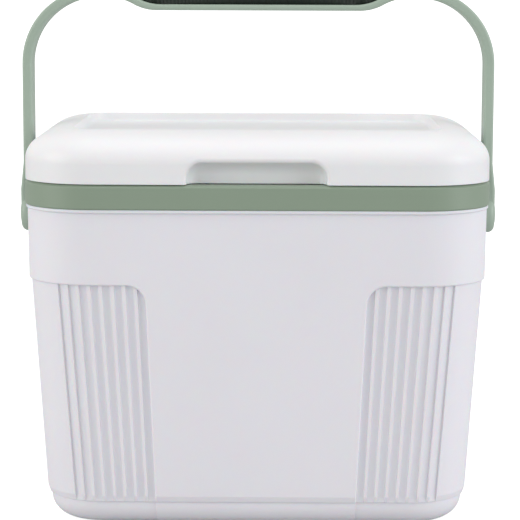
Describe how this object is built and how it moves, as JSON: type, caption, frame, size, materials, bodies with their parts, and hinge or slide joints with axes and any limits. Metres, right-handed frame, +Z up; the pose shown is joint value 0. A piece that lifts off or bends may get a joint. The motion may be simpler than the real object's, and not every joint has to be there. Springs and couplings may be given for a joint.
{
  "type": "vaccine carrier",
  "caption": "Insulated hard-shell cool box for vaccines with a hinged plug lid, a swinging carry bail, a rim band, fluted corners and upright ice packs.",
  "frame": {"origin": "on the ground under the middle of the whole object, hinges included", "axes": "+X to the right seen from the finger pull, +Y towards the hinges, +Z up"},
  "size_m": [0.3564, 0.25, 0.3885],
  "materials": {
    "shell_white": "fine moulded grain, satin",
    "lid_white": "fine moulded grain, satin",
    "band_sage": "satin",
    "bail_sage": "satin",
    "grip_green": "soft matte",
    "liner_white": "satin",
    "foam": "closed-cell foam",
    "gasket_grey": "soft matte",
    "foot_rubber": "matte",
    "steel": "brushed",
    "pivot_plastic": "satin",
    "pack_plastic": "satin",
    "cap_blue": "satin"
  },
  "bodies": {
    "box": {"outer_shell": "shell_white", "base_feet": "foot_rubber", "wall_foam": "foam", "inner_liner": "liner_white", "rim_band": "band_sage", "body_hinge_left": "steel", "body_hinge_right": "steel", "hinge_pin_left": "steel", "hinge_pin_right": "steel", "hinge_screws_body": "steel", "pivot_bush_left": "pivot_plastic", "pivot_bush_right": "pivot_plastic", "ice_pack_front": "pack_plastic", "ice_pack_right": "pack_plastic", "ice_pack_back": "pack_plastic", "ice_pack_left": "pack_plastic", "ice_pack_caps": "cap_blue"},
    "lid": {"lid_shell": "lid_white", "lid_foam": "foam", "lid_liner": "liner_white", "lid_gasket": "gasket_grey", "lid_hinge_left": "steel", "lid_hinge_right": "steel", "hinge_screws_lid": "steel"},
    "pivots": {"pivot_pin_left": "steel", "pivot_pin_right": "steel"},
    "handle": {"handle_bail": "bail_sage", "grip_insert": "grip_green", "pivot_washer_left": "pivot_plastic", "pivot_washer_right": "pivot_plastic", "pivot_cap_left": "bail_sage", "pivot_cap_right": "bail_sage"}
  },
  "joints": [
    {"name": "lid_hinge", "type": "hinge", "parent": "box", "child": "lid", "pos_m": [0, 0.1208, 0.252], "axis": [-1, 0, 0], "range_deg": [0, 62.5]},
    {"name": "handle_fold", "type": "hinge", "parent": "box", "child": "pivots", "pos_m": [0, -0.0032, 0.2175], "axis": [-1, 0, 0], "range_deg": [0, 125]},
    {"name": "handle_swing", "type": "hinge", "parent": "pivots", "child": "handle", "pos_m": [0, -0.0032, 0.2175], "axis": [1, 0, 0], "range_deg": [0, 120]}
  ],
  "couplings": [
    {"joint": "handle_fold", "follows": "lid_hinge", "ratio": 2}
  ]
}
